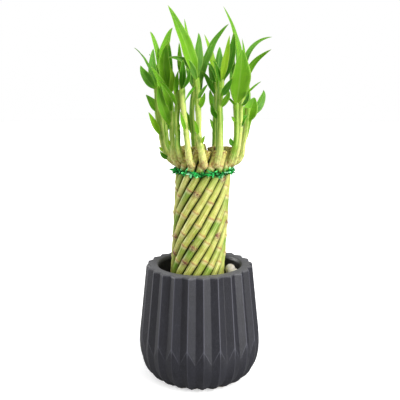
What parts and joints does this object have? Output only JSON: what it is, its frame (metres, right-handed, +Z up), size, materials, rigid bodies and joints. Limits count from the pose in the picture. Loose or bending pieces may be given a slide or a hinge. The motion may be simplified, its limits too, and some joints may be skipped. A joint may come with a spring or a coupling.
{
  "type": "potted lucky bamboo",
  "caption": "Twisted bundle of bamboo-like canes with leafy green shoots, tied with tinsel and standing in gravel in a dark pleated pot.",
  "frame": {"origin": "middle of the pot's flat foot, on the surface that it stands on", "axes": "+Z up, along the height; -Y towards the side that the picture shows; +X to the right in it"},
  "size_m": [0.1351, 0.1276, 0.3746],
  "materials": {
    "pot_ceramic": "matt, slightly grainy",
    "gravel": "rough",
    "pebble": "worn smooth",
    "cane": "smooth, waxy",
    "leaf": "smooth, waxy",
    "tinsel": "metallic foil"
  },
  "bodies": {
    "root": {"pot": "pot_ceramic", "gravel_bed": "gravel", "gravel_core": "gravel", "pebble_01": "pebble", "pebble_02": "pebble", "pebble_03": "pebble", "pebble_04": "pebble", "pebble_05": "pebble", "pebble_06": "pebble", "pebble_07": "pebble", "pebble_08": "pebble", "pebble_09": "pebble", "pebble_10": "pebble", "pebble_11": "pebble", "pebble_12": "pebble", "pebble_13": "pebble", "cane_01": "cane", "shoot_01": "leaf", "cane_02": "cane", "shoot_02": "leaf", "cane_03": "cane", "shoot_03": "leaf", "cane_04": "cane", "shoot_04": "leaf", "cane_05": "cane", "shoot_05": "leaf", "cane_06": "cane", "shoot_06": "leaf", "cane_07": "cane", "shoot_07": "leaf", "cane_08": "cane", "shoot_08": "leaf", "cane_09": "cane", "shoot_09": "leaf", "cane_10": "cane", "shoot_10": "leaf", "cane_11": "cane", "shoot_11": "leaf", "cane_12": "cane", "shoot_12": "leaf", "cane_13": "cane", "shoot_13": "leaf", "cane_14": "cane", "shoot_14": "leaf", "cane_15": "cane", "shoot_15": "leaf", "cane_16": "cane", "shoot_16": "leaf", "tinsel_tie": "tinsel"}
  },
  "joints": []
}
